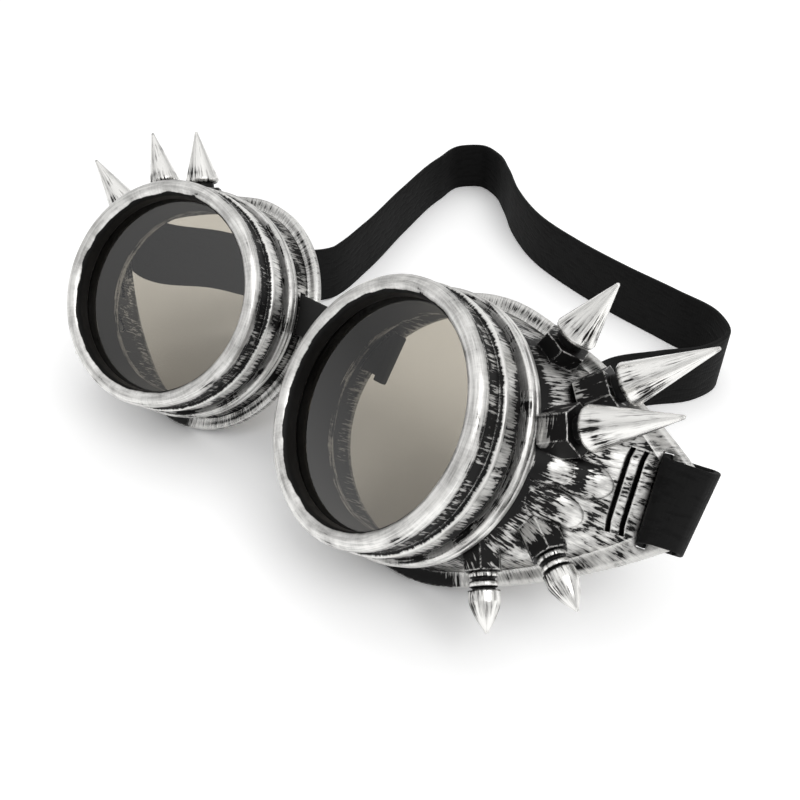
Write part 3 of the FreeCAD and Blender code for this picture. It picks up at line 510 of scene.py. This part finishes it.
table = [Vector((x, y - stance["setback"], strapLook["halfWidth"] + lift)) * mm
         for x, y, lift in strapLook["route"]]
leftEnd = [mirrorX @ point for point in reversed(rightEnd)]
line = rightEnd + table + leftEnd
endCount = len(rightEnd)


# the strap's width turns from the slot's direction to upright over the first places of the route
def widthAt(index):
    if index < endCount:
        return slotUp
    if index >= len(line) - endCount:
        return leftSlotUp
    fromRight = min(1.0, (index - endCount + 1) / strapLook["turnPlaces"])
    fromLeft = min(1.0, (len(line) - endCount - index) / strapLook["turnPlaces"])
    return (slotUp * (1 - fromRight) + leftSlotUp * (1 - fromLeft)
            + upright * (fromRight + fromLeft - 1)).normalized()


# the loops round the flanges are drawn in, narrower than the free strap
def shareAt(index):
    fromEnd = min(index, len(line) - 1 - index)
    return strapLook["ends"][fromEnd][2] if fromEnd < endCount else 1


# the end of each loop slants in towards its lower edge
def slantAt(index):
    fromEnd = min(index, len(line) - 1 - index)
    if fromEnd >= endCount or strapLook["ends"][fromEnd][0] < strapLook["slantFrom"]:
        return Vector((0, 0, 0))
    slant = rearPlane.to_3x3() @ Vector((strapLook["loopSlant"], 0, 0))
    return slant if index < endCount else mirrorX.to_3x3() @ slant


# a smooth curve through the places of the line, sampled more closely round the flanges
gaps = [(b - a).length for a, b in zip(line, line[1:])]
slopes = [(b - a) / gap for a, b, gap in zip(line, line[1:], gaps)]
tangents = [slopes[0]] + [
    (slopes[i] * gaps[i - 1] + slopes[i - 1] * gaps[i]) / (gaps[i - 1] + gaps[i]) for i in range(1, len(gaps))
] + [slopes[-1]]
samples = []
for index, gap in enumerate(gaps):
    inEnd = index < endCount or index >= len(gaps) - endCount
    steps = max(2, math.ceil(gap / (strapLook["endStep" if inEnd else "step"] * mm)))
    for step in range(steps + (index == len(gaps) - 1)):
        t = step / steps
        point = (line[index] * (2 * t ** 3 - 3 * t ** 2 + 1) + line[index + 1] * (3 * t ** 2 - 2 * t ** 3)
                 + tangents[index] * gap * (t ** 3 - 2 * t ** 2 + t)
                 + tangents[index + 1] * gap * (t ** 3 - t ** 2))
        wide = widthAt(index).lerp(widthAt(index + 1), t).normalized()
        share = shareAt(index) * (1 - t) + shareAt(index + 1) * t
        samples.append((point, wide, share, slantAt(index).lerp(slantAt(index + 1), t)))
travelled = [0.0]
for here, there in zip(samples, samples[1:]):
    travelled.append(travelled[-1] + (there[0] - here[0]).length)

bm = bmesh.new()
woven = bm.loops.layers.uv.new("weave")
columns = len(samples) - 1
bmesh.ops.create_grid(bm, x_segments=columns, y_segments=strapLook["rows"], size=1)
along = {}
for vert in bm.verts:
    column = round((vert.co.x + 1) / 2 * columns)
    across = vert.co.y
    point, wide, share, slant = samples[column]
    ahead = (samples[min(column + 1, columns)][0] - samples[max(column - 1, 0)][0]).normalized()
    wide = (wide - ahead * wide.dot(ahead)).normalized()
    reach = halfWidth * share
    lowest = reach * abs(wide.z)
    centre = Vector((point.x, point.y, max(point.z, lowest)))
    along[vert] = (travelled[column], across * halfWidth)
    vert.co = centre + (wide + slant) * across * reach
for face in bm.faces:
    for loop in face.loops:
        loop[woven].uv = along[loop.vert]

# Black woven elastic, matt, with faint ribs across and short dashes of sunken thread along it. The colour
# is darker in the ribs' hollows and in the sunken dashes, a painted shade. Lengths in mm.
weaveLook = {"pitch": 0.95, "ribShare": 0.12, "waver": 0.35, "waverScale": 0.5, "dashLength": 5.0,
             "dashWidth": 1.3, "dashSpan": (0.36, 0.52), "dark": "#050505", "light": "#0F0F0F",
             "relief": 0.14}
material, tree, out = startMaterial("black woven elastic")
uv = addNode(tree, "UVMap", uv_map="weave").outputs[0]
inMm = addNode(tree, "VectorMath", {0: uv, "Scale": 1 / mm}, operation="SCALE").outputs[0]
stray = addNode(tree, "TexNoise", {
    "Vector": inMm, "Scale": weaveLook["waverScale"], "Detail": 2.0}).outputs["Color"]
stray = addNode(tree, "VectorMath", {0: stray, 1: (0.5, 0.5, 0.5)}, operation="SUBTRACT").outputs[0]
stray = addNode(tree, "VectorMath", {0: stray, "Scale": weaveLook["waver"] * 2}, operation="SCALE").outputs[0]
strayed = addNode(tree, "VectorMath", {0: inMm, 1: stray}).outputs[0]
rib = addNode(tree, "SeparateXYZ", {0: strayed}).outputs["X"]
rib = addNode(tree, "Math", {0: rib, 1: 2 * math.pi / weaveLook["pitch"]}, operation="MULTIPLY").outputs[0]
rib = addNode(tree, "Math", {0: rib}, operation="SINE").outputs[0]
dashes = (1 / weaveLook["dashLength"], 1 / weaveLook["dashWidth"], 1)
dash = addNode(tree, "VectorMath", {0: inMm, 1: dashes}, operation="MULTIPLY").outputs[0]
dash = addNode(tree, "TexNoise", {"Vector": dash, "Scale": 1.0, "Detail": 2.0}).outputs["Fac"]
dash = addNode(tree, "MapRange", {0: dash, **between(weaveLook["dashSpan"])}).outputs[0]
height = addNode(tree, "Math", {
    0: rib, 1: weaveLook["ribShare"], 2: dash}, operation="MULTIPLY_ADD").outputs[0]
# painted shade: the colour darkens where the ribs and dashes sink
colour = addNode(tree, "Mix", {
    0: height, 6: srgb(weaveLook["dark"]), 7: srgb(weaveLook["light"])}, data_type="RGBA").outputs[2]
bump = addNode(tree, "Bump", {
    "Height": height, "Strength": 0.7, "Distance": weaveLook["relief"] * mm}).outputs[0]
shader = addNode(tree, "BsdfPrincipled", {
    "Base Color": colour, "Roughness": 0.82, "Specular IOR Level": 0.2, "Sheen Weight": 0.02,
    "Sheen Roughness": 0.4, "Normal": bump})
tree.links.new(shader.outputs[0], out.inputs["Surface"])
strap = finishPiece("elastic_strap", bm, material)
wall = strap.modifiers.new("thickness", "SOLIDIFY")
wall.thickness = strapLook["thickness"] * mm
wall.offset = 0
soft = strap.modifiers.new("soft edge", "BEVEL")
soft.width = strapLook["edge"] * mm
soft.segments = strapLook["edgeSegments"]
soft.limit_method = "ANGLE"
soft.angle_limit = math.radians(strapLook["edgeAngle"])
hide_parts("head_strap")
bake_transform(strap)
